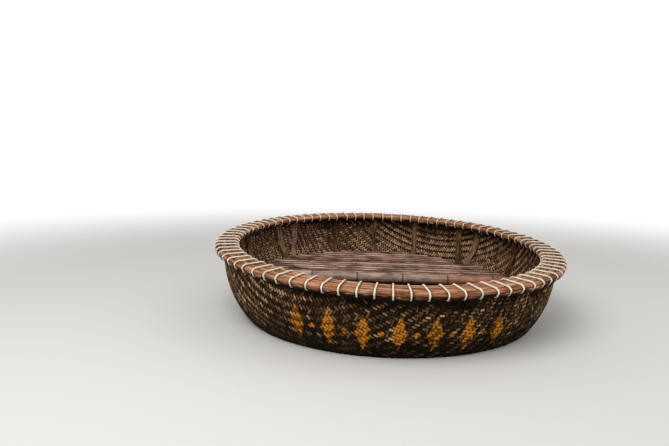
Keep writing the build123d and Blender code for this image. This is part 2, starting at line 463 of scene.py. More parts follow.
def paint_share(add, place, paint):
    """How much paint there is at a place: a row of lozenges with dots between them, worn ragged."""
    parts = add("SeparateXYZ", [place]).outputs
    azimuth = add("Math.ARCTAN2", [parts["Y"], parts["X"]])
    off = add("Math.SUBTRACT", [azimuth, paint.middle])
    half_step = paint.reach / paint.lozenges
    near = add("Math.WRAP", [off, half_step, -half_step])
    side = add("Math.MULTIPLY", [near, paint.radius])
    rise = add("Math.SUBTRACT", [parts["Z"], paint.height])
    spot = add("CombineXYZ", [side, rise])
    spot = add("VectorMath.ABSOLUTE", [spot])
    slopes = (1 / paint.half_width, 1 / paint.half_height, 0)
    lozenge = add("VectorMath.DOT_PRODUCT", [spot, slopes]).outputs["Value"]
    from_dot = add("VectorMath.SUBTRACT", [spot, (paint.radius * half_step, 0, 0)])
    dot = add("VectorMath.LENGTH", [from_dot]).outputs["Value"]
    dot = add("Math.DIVIDE", [dot, paint.dot])
    form = add("Math.MINIMUM", [lozenge, dot])
    end = add("Math.ABSOLUTE", [off])
    end = add("Math.DIVIDE", [end, paint.reach])
    form = add("Math.MAXIMUM", [form, end])
    # the brush and years of landing on sand left edges that stray by about 16 mm
    wear = random_grain(add, place, (16, 16, 16), 3.0)
    form = add("Math.MULTIPLY_ADD", [wear, 0.5, form])
    return add("MapRange", {"Value": form, "From Min": 1.27, "From Max": 1.15})


def left_light_share(add, place):
    """Painted light on the mat's left side: how much lighter the mat is painted towards the left."""
    across = add("SeparateXYZ", [place]).outputs["X"]
    return add("MapRange", {"Value": across, "From Min": -0.40, "From Max": -0.72})


def resin_and_shade_share(add, place):
    """How dark the mat is painted: a ragged band that grows darker towards the water, and a band close under
    the rim, which is painted shade of the rim with thicker resin.
    """
    height = add("SeparateXYZ", [place]).outputs["Z"]
    ragged = random_grain(add, place, (120, 120, 60), 3.0)
    ragged = add("Math.MULTIPLY_ADD", [ragged, 0.12, height])
    # darker towards the water, in a ragged band
    towards_water = add("MapRange", {"Value": ragged, "From Min": 0.47, "From Max": 0.29})
    # painted shade of the rim, with thicker resin, in a band close under it
    brushed = add("MapRange", {"Value": ragged, "From Min": 0.585, "From Max": 0.625, "To Max": 0.8})
    # painted light: the band under the rim is painted lighter on the left side
    brushed = add("Math.MULTIPLY_ADD", [left_light_share(add, place), -0.8, brushed])
    return add("Math.MAXIMUM", [towards_water, brushed])


def resin_ground(shades, paint):
    """Tree resin, brushed on hot and set: nearly black and dull, with low runs in the gaps of the mat."""
    finish, add, place = new_material("brushed_tree_resin")
    patches = random_grain(add, place, (70, 70, 70), 3.0)
    base = add("Mix.RGBA", {0: patches, 6: shades.resin, 7: shades.resin_worn}).outputs[2]
    # paint has run thinly into the gaps of the weave
    thin = add("Math.MULTIPLY", [paint_share(add, place, paint), 0.35])
    base = add("Mix.RGBA", {0: thin, 6: base, 7: shades.paint}).outputs[2]
    runs = random_grain(add, place, (5, 5, 5), 2.0)
    roughness = add("Math.MULTIPLY_ADD", [patches, 0.25, 0.5])
    finish_surface(add, base, roughness, runs, 1.2, 0.05)
    return finish


def mat_strands(name, shades, dark, thin, bare, paint=None):
    """Split bamboo strands under worn resin: dull brown, with straw-coloured crowns and painted shade at
    their sunk edges.
    """
    finish, add, place = new_material(name)
    tone = add("Attribute", attribute_name="tone").outputs["Fac"]
    tint = add("Attribute", attribute_name="tint").outputs["Fac"]
    fibres = random_grain(add, place, (6, 6, 6), 3.0)
    tone = add("Math.MULTIPLY_ADD", [fibres, 0.6, tone])
    if paint:
        # darker towards the water, and painted shade with thicker resin close under the rim
        thick = resin_and_shade_share(add, place)
        tone = add("Math.MULTIPLY_ADD", [thick, -0.40, tone])
        # painted light: the strands are painted lighter on the left side
        tone = add("Math.MULTIPLY_ADD", [left_light_share(add, place), 0.08, tone])
    else:
        # inside, painted shade: the mat is painted darker close under the rim and lighter lower down
        height = add("SeparateXYZ", [place]).outputs["Z"]
        rubbed = add("MapRange", {
            "Value": height, "From Min": 0.38, "From Max": 0.56, "To Min": 0.15, "To Max": -0.04})
        tone = add("Math.ADD", [tone, rubbed])
    # the fibres add 0.3 on average, so the stops stand that much higher than the tones of the strands
    base = add("ValToRGB", [tone], stops=[(0.28, shades.resin), (0.52, dark), (0.80, thin), (1.0, bare)])
    cool = add("HueSaturation", {"Color": base, "Saturation": 0.8, "Value": 0.95})
    base = add("Mix.RGBA", {0: tint, 6: base, 7: cool}).outputs[2]
    if paint:
        painted = add("Mix.RGBA", {0: fibres, 6: shades.paint, 7: shades.paint_light}).outputs[2]
        hold = add("MapRange", {"Value": tone, "From Min": 0.30, "From Max": 0.55})
        hold = add("Math.MULTIPLY", [hold, paint_share(add, place, paint)])
        base = add("Mix.RGBA", {0: hold, 6: base, 7: painted}).outputs[2]
    roughness = add("Math.MULTIPLY_ADD", [tone, 0.15, 0.62])
    finish_surface(add, base, roughness, fibres, 0.6, 0.04)
    return finish


def bay_weather(add, around, bays, slide, tone):
    """Each bay between two lashings has weathered in its own way, and is rubbed pale in spots."""
    bay_tone = add("Math.FLOOR", [bays])
    bay_tone = add("TexWhiteNoise", {"W": bay_tone}, noise_dimensions="1D").outputs["Value"]
    tone = add("Math.MULTIPLY_ADD", [bay_tone, 0.30, tone])
    spots = random_grain(add, around, (46, 15, 15), 2.0, (slide, slide, 0))
    spots = add("MapRange", {
        "Value": spots, "From Min": 0.50, "From Max": 0.64, "To Min": -0.32, "To Max": 0.04})
    return add("Math.ADD", [tone, spots])


def hoop_underside_shade(add, rim, height, patches):
    """Painted shade under the hoops: how far their rounded lower edges are painted near black, in a ragged
    band.
    """
    ragged = add("Math.MULTIPLY_ADD", [patches, 0.030, height])
    return add("MapRange", {
        "Value": ragged, "From Min": rim.hoop_base + 0.040, "From Max": rim.hoop_base + 0.026})


def strip_edge_dark(add, rim, radius):
    """How much darker each strip is along both its edges, where it meets the next."""
    pitch = (rim.outer - rim.inner + rim.strip_gap) / rim.strips
    line = add("Math.SUBTRACT", [radius, rim.inner - rim.strip_gap / 2])
    line = add("Math.PINGPONG", [line, pitch / 2])
    return add("MapRange", {"Value": line, "From Min": 0.0055, "From Max": 0.0020, "To Max": 0.5})


def rim_bamboo(name, shades, rim, slide, lightness, bulging):
    """Split bamboo bent green round the boat: long fibres, greyed and rubbed patches, dark checks."""
    finish, add, place = new_material(name)
    # the count of degrees begins at the first lashing, so its two ends meet under a lashing
    place = add("Mapping", {"Vector": place, "Rotation": (0, 0, -rim.first_lashing)})
    parts = add("SeparateXYZ", [place]).outputs
    azimuth = add("Math.ARCTAN2", [parts["Y"], parts["X"]])
    radius = add("Math.MULTIPLY", [parts["X"], parts["X"]])
    radius = add("Math.MULTIPLY_ADD", [parts["Y"], parts["Y"], radius])
    radius = add("Math.POWER", [radius, 0.5])
    around = add("CombineXYZ", [azimuth, radius, parts["Z"]])
    fibres = random_grain(add, around, (95, 3.4, 3.4), 4.0, (slide, slide, 0), roughness=0.62)
    patches = random_grain(add, around, (110, 30, 30), 3.0, (0, slide, slide))
    tone = add("Math.MULTIPLY_ADD", [fibres, 0.8, lightness - 0.02])
    tone = add("Math.MULTIPLY_ADD", [patches, 0.75, tone])
    # painted shade: the rim is painted darker towards its left and right sides
    sideways = add("Math.ABSOLUTE", [parts["Y"]])
    side_shade = add("MapRange", {"Value": sideways, "From Min": 0.62, "From Max": 0.95, "To Max": 0.15})
    tone = add("Math.SUBTRACT", [tone, side_shade])
    bays = add("Math.MULTIPLY", [azimuth, rim.lashings / (2 * math.pi)])
    if bulging:
        tone = bay_weather(add, around, bays, slide, tone)
    base = add("ValToRGB", [tone], stops=[
        (0.40, shades.resin_worn), (0.56, shades.rim_dark), (0.74, shades.rim), (0.96, shades.rim_light)])
    grey = add("HueSaturation", {"Color": base, "Saturation": 0.84, "Value": 1.0})
    greyed = add("MapRange", {"Value": patches, "From Min": 0.42, "From Max": 0.62})
    base = add("Mix.RGBA", {0: greyed, 6: base, 7: grey}).outputs[2]
    # checks open along the fibres as the bamboo dries; beside each cord the rim is painted darker, partly
    # painted shade of the cord and partly dirt
    checks = random_grain(add, around, (170, 6, 6), 1.0, (slide, 0, slide))
    checks = add("MapRange", {"Value": checks, "From Min": 0.57, "From Max": 0.67})
    from_cord = add("Math.PINGPONG", [bays, 0.5])
    dirt = add("MapRange", {
        "Value": from_cord, "From Min": 0.26 if bulging else 0.20, "From Max": 0.06,
        "To Max": 0.95 if bulging else 0.9})
    dark = add("Math.MAXIMUM", [checks, dirt])
    # on the hoops, painted shade, near black, under their rounded lower edges; on the strips, darker lines
    # along their edges
    line = hoop_underside_shade(add, rim, parts["Z"], patches) if bulging else strip_edge_dark(add, rim, radius)
    dark = add("Math.MULTIPLY", [dark, 0.80 if bulging else 0.72])
    base = add("Mix.RGBA", {0: dark, 6: base, 7: shades.resin_worn}).outputs[2]
    line = add("Math.MULTIPLY", [line, 0.96 if bulging else 0.72])
    base = add("Mix.RGBA", {0: line, 6: base, 7: shades.resin}).outputs[2]
    roughness = add("Math.MULTIPLY_ADD", [fibres, 0.25, 0.55])
    relief = add("Math.MULTIPLY_ADD", [checks, -1.0, fibres])
    finish_surface(add, base, roughness, relief, 1.0, 0.06)
    return finish


def lashing_cord(shades):
    """Three-strand cotton cord, laid by hand: matt cream, darker in its grooves, with dirt, painted shade
    low on the rim, and a fibre fuzz.
    """
    finish, add, place = new_material("laid_cotton_cord")
    groove = add("Attribute", attribute_name="groove").outputs["Fac"]
    dirt = random_grain(add, place, (30, 30, 30), 3.0)
    dirt = add("MapRange", {"Value": dirt, "From Min": 0.45, "From Max": 0.85, "To Max": 0.6})
    # the cord is darker in the grooves between its strands
    share = add("Math.MULTIPLY_ADD", [groove, 0.30, dirt])
    height = add("SeparateXYZ", [place]).outputs["Z"]
    # painted shade low on the rim, with some dirt: the cord is painted darker towards its lower end
    low = add("MapRange", {"Value": height, "From Min": 0.603, "From Max": 0.583, "To Max": 0.6})
    share = add("Math.ADD", [share, low], use_clamp=True)
    base = add("Mix.RGBA", {0: share, 6: shades.cord, 7: shades.cord_dark}).outputs[2]
    # fuzz of cut fibre ends, drawn 1.5 mm across so that it shows
    fuzz = random_grain(add, place, (1.5, 1.5, 1.5), 2.0)
    finish_surface(add, base, 0.88, fuzz, 0.4, 0.15, sheen_weight=0.1)
    return finish


def worn_bamboo(name, shades, dark, mid, light, grain):
    """Split bamboo worn by feet: fibre streaks, a tone for each piece, dark joints and checks, and painted
    shade towards the edges of the slats.
    """
    finish, add, place = new_material(name)
    fibres = random_grain(add, place, grain, 4.0, roughness=0.6)
    worn = random_grain(add, place, (130, 110, 130), 3.0)
    # each piece was split from another culm
    each = add("Attribute", attribute_name="piece").outputs["Fac"]
    tone = add("Math.MULTIPLY_ADD", [fibres, 1.2, -0.33])
    tone = add("Math.MULTIPLY_ADD", [worn, 0.7, tone])
    tone = add("Math.MULTIPLY_ADD", [each, 0.18, tone])
    base = add("ValToRGB", [tone], stops=[(0.58, dark), (0.71, mid), (0.85, light)])
    grey = add("HueSaturation", {"Color": base, "Saturation": 0.85, "Value": 1.0})
    base = add("Mix.RGBA", {0: each, 6: base, 7: grey}).outputs[2]
    checks = random_grain(add, place, (2.2 * size for size in grain), 1.0)
    checks = add("MapRange", {"Value": checks, "From Min": 0.61, "From Max": 0.68, "To Max": 0.8})
    # joints are darker; the slats are also painted darker towards their long edges, painted shade of the
    # gaps between them
    for label, start, end, most in (("joint", 0.35, 0.85, 0.7), ("edge", 0.44, 0.84, 0.92)):
        mark = add("Attribute", attribute_name=label).outputs["Fac"]
        mark = add("MapRange", {"Value": mark, "From Min": start, "From Max": end, "To Max": most})
        checks = add("Math.MAXIMUM", [checks, mark])
    base = add("Mix.RGBA", {0: checks, 6: base, 7: shades.resin_worn}).outputs[2]
    roughness = add("Math.MULTIPLY_ADD", [fibres, 0.25, 0.48])
    relief = add("Math.MULTIPLY_ADD", [checks, -1.0, fibres])
    finish_surface(add, base, roughness, relief, 0.8, 0.14)
    return finish


def bamboo_culm(name, shades, bench, grain, greyed):
    """Round culm with its skin on: fine streaks, and on the pole dark knots and sun-greyed skin."""
    finish, add, place = new_material(name)
    fibres = random_grain(add, place, grain, 4.0, roughness=0.6)
    clouds = random_grain(add, place, (90, 60, 60), 3.0)
    across = add("SeparateXYZ", [place]).outputs["X"]
    skin = shades.pole_brown
    if greyed:
        sunned = add("Math.MULTIPLY_ADD", [clouds, 0.3, across])
        sunned = add("MapRange", {"Value": sunned, "From Min": 0.50, "From Max": 0.60})
        skin = add("Mix.RGBA", {0: sunned, 6: shades.pole_grey, 7: skin}).outputs[2]
    tone = add("Math.ADD", [fibres, clouds])
    tone = add("MapRange", {
        "Value": tone, "From Min": 0.72, "From Max": 1.22, "To Min": 0.25, "To Max": 1.55})
    base = add("HueSaturation", {"Color": skin, "Value": tone})
    if greyed:
        half = bench.culm_pitch / 2
        ring = add("Math.SUBTRACT", [across, bench.culm_knot])
        ring = add("Math.WRAP", [ring, half, -half])
        ring = add("Math.ABSOLUTE", [ring])
        ring = add("MapRange", {"Value": ring, "From Min": 0.008, "From Max": 0.003, "To Max": 0.75})
        base = add("Mix.RGBA", {0: ring, 6: base, 7: shades.rib_dark}).outputs[2]
    roughness = add("Math.MULTIPLY_ADD", [fibres, 0.25, 0.4])
    finish_surface(add, base, roughness, fibres, 0.5, 0.2)
    return finish


# Operators

class BoatSettings(bpy.types.PropertyGroup):
    """Sizes and colours of the whole boat."""
    bowl: bpy.props.PointerProperty(type=BowlSizes)
    weave: bpy.props.PointerProperty(type=WeaveSizes)
    rim: bpy.props.PointerProperty(type=RimSizes)
    bench: bpy.props.PointerProperty(type=BenchSizes)
    paint: bpy.props.PointerProperty(type=PaintSizes)
    shades: bpy.props.PointerProperty(type=BoatColours)
    stage: bpy.props.PointerProperty(type=StageSizes)


class BOAT_OT_resin(bpy.types.Operator):
    """Coat the bowl with dark resin"""
    bl_idname = "boat.resin"
    bl_label = "Resin"

    def execute(self, context):
        boat = context.scene.basket_boat
        coat(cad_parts["hull_mat"], resin_ground(boat.shades, boat.paint))
        return {"FINISHED"}


def float_template(weave):
    """One float: the flat-topped stretch of a strand from one dive under the others to the next."""
    fresh()
    bpy.ops.mesh.primitive_cube_add(size=2.0)
    piece = bpy.context.object
    piece.scale = (weave.level, weave.half_width, 1)
    settle(piece)
    edit(piece)
    dive = weave.half_length - weave.level
    for end in (-1, 1):
        pick(piece, "FACE", lambda f: f.normal.x * end > 0.9)
        bpy.ops.mesh.extrude_region_move(TRANSFORM_OT_translate={"value": (end * dive, 0, 0)})
    fresh()
    for vertex in piece.data.vertices:
        if abs(vertex.co.x) > weave.level + dive / 2:
            # the upper corners come down onto the lower ones, so each end is one sunk edge
            vertex.co.y *= 0.92
            vertex.co.z = -weave.root
        elif vertex.co.z > 0:
            vertex.co.y *= weave.flat_share
            vertex.co.z = weave.crown
        else:
            vertex.co.z = -weave.root
    close_up(piece, 180.0)
    edit_all(piece)
    bpy.ops.mesh.quads_convert_to_tris()
    fresh()
    return piece


def float_places(weave, family, outside):
    """Middle of each float in the flat mat, and the number of its strand."""
    half = int(weave.top / weave.pitch) + 2
    strand, pick_number = np.meshgrid(np.arange(-half, half + 1), np.arange(-half, half + 1), indexing="ij")
    # over two and under two, one step further on at each next strand
    phase = 0 if (family == 0) == outside else 2
    chosen = (strand + pick_number) % 4 == phase
    across = strand[chosen] * weave.pitch
    along = (pick_number[chosen] + 0.5) * weave.pitch
    kept = np.hypot(along, across) < weave.top - weave.half_length * 0.9
    return along[kept], across[kept], strand[chosen][kept]


def float_corners(weave, corners, along, across, family, chance):
    """Places in the flat mat of the corners of every float, and their heights over it."""
    total = len(along)
    stretch = chance.uniform(0.90, 1.06, total)
    squeeze = chance.uniform(0.86, 1.04, total)
    turn = chance.normal(0, math.radians(2.2), total)
    rise = chance.uniform(0.75, 1.2, total) * (1.0, 0.8)[family]
    shift = chance.normal(0, 0.0006, total)
    u = corners[None, :, 0] * stretch[:, None]
    v = corners[None, :, 1] * squeeze[:, None]
    height = np.where(corners[None, :, 2] > 0, corners[None, :, 2] * rise[:, None], corners[None, :, 2])
    first = along[:, None] + u * np.cos(turn)[:, None] - v * np.sin(turn)[:, None]
    second = across[:, None] + shift[:, None] + u * np.sin(turn)[:, None] + v * np.cos(turn)[:, None]
    # strands stray together, as the hands that pressed the mat into the ring left them
    stray = weave.wander * np.sin(5.1 * first + 3.3 * second + 1.0)
    stray = stray + 0.5 * weave.wander * np.sin(9.7 * second - 4.0)
    x, y = (first, second + stray) if family == 0 else (second - stray, first)
    cosine, sine = math.cos(weave.turn), math.sin(weave.turn)
    return np.stack([x * cosine - y * sine, x * sine + y * cosine], -1), height


def float_tones(weave, corners, along, across, strand, family, chance):
    """Tone and tint of every corner: a tone for each strand, wear for each float, zones of wear, and painted
    shade at the sunk edges.
    """
    total, most_strands = len(along), 4000
    # painted shade: the strands along Y are painted darker than those along X, which catch the highlights
    strand_tone = chance.normal(0.42 - weave.dull * family, 0.05, most_strands)[strand + most_strands // 2]
    wear = chance.beta(1.9, 3.0, total)
    zones = 0.10 * np.sin(6.3 * along + 2.0) * np.sin(5.2 * across - 1.0)
    zones = zones + 0.06 * np.sin(17.0 * (along + across))
    tone = np.clip(strand_tone + (wear - 0.39) * 0.62 + zones, 0.05, 1.0)
    # painted shade: the sunk edges of each float are painted at under half its tone
    ridge = corners[None, :, 2] > 0
    tone = np.where(ridge, tone[:, None], tone[:, None] * 0.45)
    tint = np.repeat(chance.uniform(0, 1, total), len(corners))
    return tone.reshape(-1), tint


def weave_mesh(boat, template, name, family, outside, seed):
    """All the floats of one family of strands on one face of the mat, as one mesh."""
    weave, bowl = boat.weave, boat.bowl
    chance = np.random.default_rng(seed)
    along, across, strand = float_places(weave, family, outside)
    corners = np.array([v.co for v in template.data.vertices])
    faces = np.array([tuple(p.vertices) for p in template.data.polygons])
    flat, height = float_corners(weave, corners, along, across, family, chance)
    lift = height if outside else -(bowl.thickness + height)
    places = press(bowl, flat, lift).reshape(-1, 3)
    offsets = (np.arange(len(along)) * len(corners))[:, None, None]
    made = bpy.data.meshes.new(name)
    facing = faces[:, ::-1] if (family == 0) == outside else faces
    made.from_pydata(places, [], (facing[None] + offsets).reshape(-1, 3))
    tone, tint = float_tones(weave, corners, along, across, strand, family, chance)
    for label, values in (("tone", tone), ("tint", tint)):
        attribute = made.attributes.new(label, "FLOAT", "POINT")
        attribute.data.foreach_set("value", values.astype(np.float32))
    made.polygons.foreach_set("use_smooth", np.ones(len(made.polygons), bool))
    made.update()
    piece = bpy.data.objects.new(name, made)
    bpy.context.collection.objects.link(piece)
    return piece


class BOAT_OT_weave(bpy.types.Operator):
    """Weave the mat: floats of split bamboo, over two and under two, on both faces of the bowl"""
    bl_idname = "boat.weave"
    bl_label = "Weave"

    def execute(self, context):
        boat = context.scene.basket_boat
        shades = boat.shades
        template = float_template(boat.weave)
        outside = mat_strands("resin_coated_bamboo_strands", shades,
                              shades.strand_dark, shades.strand, shades.strand_bare, boat.paint)
        inside = mat_strands("smoked_bamboo_strands", shades,
                             shades.inside_dark, shades.inside_strand, shades.inside_bare)
        for family, label in enumerate(("across", "along")):
            for side, finish in (("outside", outside), ("inside", inside)):
                name = f"mat_{side}_strands_{label}"
                seed = 11 + family + 2 * (side == "inside")
                piece = weave_mesh(boat, template, name, family, side == "outside", seed)
                hand_over(piece, name, finish)
        bpy.data.objects.remove(template)
        return {"FINISHED"}


def section_outline(name, near, far, low, high, rounds, segments=4):
    """Outline of a ring's section in the XZ plane, with its four corners rounded.

    The rounds are the radii of the corners: low near, low far, high far, high near.
    """
    fresh()
    bpy.ops.mesh.primitive_plane_add(size=1.0, rotation=(math.pi / 2, 0, 0))
    piece = bpy.context.object
    piece.name = name
    piece.scale = (far - near, high - low, 1)
    piece.location = ((near + far) / 2, 0, (low + high) / 2)
    settle(piece)
    edit(piece)
    corners = ((near, low), (far, low), (far, high), (near, high))
    for (radius, height), size in zip(corners, rounds):
        pick(piece, "VERT", lambda v: abs(v.co.x - radius) + abs(v.co.z - height) < CLOSE_BY)
        bpy.ops.mesh.bevel(offset=size, segments=segments, affect="VERTICES", offset_type="OFFSET")
    bpy.ops.mesh.select_all(action="SELECT")
    bpy.ops.mesh.delete(type="ONLY_FACE")
    fresh()
    return piece


def ease_edges(outline, rim):
    """Let the rim's upper edges fall away in a long curve, as hands and ropes have rubbed them."""
    edit(outline)
    cuts = 5
    for edge, inward in ((rim.inner, 1), (rim.outer, -1)):
        for step in range(1, cuts + 1):
            slice_at((edge + inward * rim.ease * step / cuts, 0, 0), (1, 0, 0))
    fresh()
    for vertex in outline.data.vertices:
        depth = min(vertex.co.x - rim.inner, rim.outer - vertex.co.x)
        near_edge = min(max(1 - depth / rim.ease, 0), 1.15)
        near_top = min(max((vertex.co.z - rim.hoop_base) / (rim.top - rim.hoop_base), 0), 1.1)
        vertex.co.z -= rim.fall * (near_edge * near_top) ** 2


def cut_scarf(piece, rim, azimuth, radius, width, about):
    """Cut a slanted scarf, where the two ends of a bent length meet."""
    fresh()
    bpy.ops.mesh.primitive_cube_add(size=1.0)
    blade = bpy.context.object
    blade.scale = (4 * width, SCARF_GAP, 4 * width)
    settle(blade)
    slant = Matrix.Rotation(SCARF_SLANT, 4, about)
    turn = Matrix.Rotation(azimuth, 4, "Z")
    blade.matrix_world = turn @ Matrix.Translation((radius, 0, rim.strip_base)) @ slant
    settle(blade)
    modify(piece, "BOOLEAN", object=blade, operation="DIFFERENCE", solver="EXACT")
    bpy.data.objects.remove(blade)


class BOAT_OT_strips(bpy.types.Operator):
    """Bend the four flat strips round the top of the rim"""
    bl_idname = "boat.strips"
    bl_label = "Top strips"

    def execute(self, context):
        boat = context.scene.basket_boat
        rim, shades = boat.rim, boat.shades
        width = (rim.outer - rim.inner - (rim.strips - 1) * rim.strip_gap) / rim.strips
        upper_round, lower_round = 0.004, 0.0015
        for index in range(rim.strips):
            near = rim.inner + index * (width + rim.strip_gap)
            inner_round = rim.shoulder if index == 0 else upper_round
            outer_round = rim.shoulder if index == rim.strips - 1 else upper_round
            name = f"top_strip_{index + 1}"
            finish = rim_bamboo(f"weathered_split_bamboo_strip_{index + 1}", shades, rim,
                                3.7 * index, (0.02, -0.05, 0.04, -0.02)[index % 4], False)
            piece = section_outline(name, near, near + width, rim.strip_base, rim.top,
                                    (lower_round, lower_round, outer_round, inner_round))
            ease_edges(piece, rim)
            spin_round(piece, STRIP_STEPS, 2 * math.pi)
            close_up(piece)
            azimuth = rim.strip_scarf + index * rim.strip_scarf_step
            cut_scarf(piece, rim, azimuth, near + width / 2, width, "Z")
            make_uneven(piece, name, 0.12, 0.0045, index)
            close_up(piece)
            hand_over(piece, name, finish, [f"rim_top_strip_{index + 1}"])
        return {"FINISHED"}


def hoop_bay(boat, name, near, far, rounds, grip):
    """One bay of a hoop, from one lashing to the next, pulled in towards the wall at both its ends."""
    rim = boat.rim
    bay = 2 * math.pi / rim.lashings
    under_strips = rim.strip_base - 0.0002
    piece = section_outline(name, near, far, rim.hoop_base, under_strips, rounds)
    ease_edges(piece, rim)
    spin_round(piece, BAY_STEPS, bay)
    # the bay runs clockwise from azimuth 0, and its steps crowd towards its ends, where it dives in
    half = BAY_STEPS // 2
    for step in range(BAY_STEPS + 1):
        share = (step - half) / half
        squeeze = 1 - rim.pinch / (far - near) * abs(share) ** 3
        turn = -bay * step / BAY_STEPS
        crowd = bay / 2 * 0.16 * math.sin(math.pi * share)
        middle = (grip * math.cos(turn), grip * math.sin(turn), rim.strip_base)
        pick(piece, "VERT", lambda v: abs(math.atan2(v.co.y, v.co.x) - turn) < bay / (4 * BAY_STEPS))
        bpy.ops.transform.resize(value=(squeeze, squeeze, squeeze), center_override=middle)
        if 0 < abs(share) < 1:
            shape = bmesh.from_edit_mesh(piece.data)
            nudge = Matrix.Rotation(-crowd, 3, "Z")
            for vertex in shape.verts:
                if vertex.select:
                    vertex.co = nudge @ vertex.co
            bmesh.update_edit_mesh(piece.data)
    fresh()
    piece.matrix_world = Matrix.Rotation(rim.first_lashing, 4, "Z")
    settle(piece)
    return piece


class BOAT_OT_hoops(bpy.types.Operator):
    """Bend the two hoops that grip the wall, pinched where the cord pulls them in"""
    bl_idname = "boat.hoops"
    bl_label = "Hoops"

    def execute(self, context):
        boat = context.scene.basket_boat
        rim, bowl, shades = boat.rim, boat.bowl, boat.shades
        inner_wall = bowl.wall - bowl.thickness
        sharp, soft = 0.002, 0.007
        hoops = (("outer_hoop", bowl.wall, rim.outer, (sharp, rim.belly, soft, sharp),
                  bowl.wall, rim.outer_scarf),
                 ("inner_hoop", rim.inner, inner_wall, (rim.belly, sharp, sharp, soft),
                  inner_wall, rim.inner_scarf))
        for index, (name, near, far, rounds, grip, scarf) in enumerate(hoops):
            finish = rim_bamboo(f"weathered_bamboo_{name}", shades, rim, 5.3 + 4.1 * index, 0.0, True)
            bay = hoop_bay(boat, name, near, far, rounds, grip)
            turns = [Matrix.Rotation(2 * math.pi * i / rim.lashings, 4, "Z") for i in range(rim.lashings)]
            whole = joined_copies(bay, name, turns)
            bpy.data.objects.remove(bay)
            close_up(whole)
            cut_scarf(whole, rim, scarf, (near + far) / 2, far - near, "X")
            make_uneven(whole, name, 0.05, 0.006, 1)
            close_up(whole)
            hand_over(whole, name, finish, [f"rim_{name}"])
        return {"FINISHED"}


def lashing_route(rim, bowl, half_cord):
    """Curve of a turn of cord round the rim's section, from one face of the mat to the other."""
    out = half_cord * 0.82
    bite = 0.0012
    bend = 1.25 * (rim.shoulder + out)
    route = section_outline("route", rim.inner + bite - out, rim.outer - bite + out, rim.hoop_base - out,
                            rim.top + out, (rim.belly + out, rim.belly + out, bend, bend), 8)
    ease_edges(route, rim)
    # below the strips the cord follows the hoops that it has pulled in
    for vertex in route.data.vertices:
        low = min(max((rim.strip_base + 0.004 - vertex.co.z) / 0.014, 0), 1)
        outside = vertex.co.x > bowl.wall
        grip, face = (bowl.wall, rim.outer) if outside else (bowl.wall - bowl.thickness, rim.inner)
        squeeze = 1 - 0.75 * rim.pinch / abs(face - grip) * low
        vertex.co.x = grip + (vertex.co.x - grip) * squeeze
        if low > 0:
            vertex.co.z = rim.strip_base + (vertex.co.z - rim.strip_base) * squeeze
    edit(route)
    ends = (bowl.wall - bowl.thickness - half_cord, bowl.wall + half_cord)
    for end in ends:
        slice_at((end, 0, 0), (1, 0, 0))
    near, far = ends[0] - CLOSE_BY, ends[1] + CLOSE_BY
    pick(route, "EDGE", lambda e: all(v.co.z < rim.hoop_base and near < v.co.x < far for v in e.verts))
    bpy.ops.mesh.delete(type="EDGE")
    activate(route)
    bpy.ops.object.convert(target="CURVE")
    route.data.use_stretch = True
    route.data.use_deform_bounds = True
    return route


def lashing_turn(boat):
    """One turn of three-strand cord round the rim's section at azimuth 0, its ends at the wall."""
    rim = boat.rim
    half_cord = rim.cord / 2
    route = lashing_route(rim, boat.bowl, half_cord)
    distance = 2 * (rim.outer - rim.inner + rim.top - rim.hoop_base)
    fresh()
    bpy.ops.mesh.primitive_cylinder_add(
        vertices=CORD_SIDES, radius=half_cord, depth=distance, rotation=(0, math.pi / 2, 0))
    cord = bpy.context.object
    settle(cord)
    edit(cord)
    pick(cord, "EDGE", lambda e: abs(e.verts[0].co.x - e.verts[1].co.x) > distance / 2)
    bpy.ops.mesh.subdivide(number_cuts=CORD_STEPS - 1)
    # three grooves between the three strands of the cord
    side = 2 * math.pi / CORD_SIDES
    around = {}
    for vertex in bmesh.from_edit_mesh(cord.data).verts:
        around[vertex.index] = round(math.atan2(vertex.co.z, vertex.co.y) / side - 0.25) % 3
    pick(cord, "VERT", lambda v: around[v.index] == 0)
    radius_left = 0.66
    bpy.ops.transform.resize(value=(1, radius_left, radius_left), center_override=(0, 0, 0))
    fresh()
    groove = cord.data.attributes.new("groove", "FLOAT", "POINT")
    for index, value in enumerate(groove.data):
        value.value = 1.0 if around[index] == 0 else 0.0
    twist = 2 * math.pi * distance / rim.lay
    modify(cord, "SIMPLE_DEFORM", deform_method="TWIST", deform_axis="X", angle=twist)
    modify(cord, "CURVE", object=route, deform_axis="POS_X")
    bpy.data.objects.remove(route)
    close_up(cord, 60.0)
    return cord


class BOAT_OT_lashings(bpy.types.Operator):
    """Lash the rim with turns of twisted cord"""
    bl_idname = "boat.lashings"
    bl_label = "Lashings"

    def execute(self, context):
        boat = context.scene.basket_boat
        rim = boat.rim
        template = lashing_turn(boat)
        finish = lashing_cord(boat.shades)
        chance = random.Random(5)
        quarter = rim.lashings // 4
        middle = Vector(((rim.outer + rim.inner) / 2, 0, (rim.top + rim.hoop_base) / 2))
        for group in range(4):
            places = []
            for index in range(group * quarter, (group + 1) * quarter):
                azimuth = rim.first_lashing + index * 2 * math.pi / rim.lashings + chance.gauss(0, 0.0018)
                lean = Matrix.Rotation(chance.gauss(0, math.radians(1.6)), 4, "Z")
                tip = Matrix.Rotation(chance.gauss(0, math.radians(1.0)), 4, "X")
                slack = Matrix.Translation((0, 0, chance.uniform(0, 0.0006)))
                swing = Matrix.Translation(middle) @ lean @ tip @ Matrix.Translation(-middle)
                places.append(Matrix.Rotation(azimuth, 4, "Z") @ slack @ swing)
            name = f"cord_lashings_{group + 1}"
            piece = joined_copies(template, name, places)
            hand_over(piece, name, finish, [f"rim_lashings_{group + 1}"])
        bpy.data.objects.remove(template)
        return {"FINISHED"}


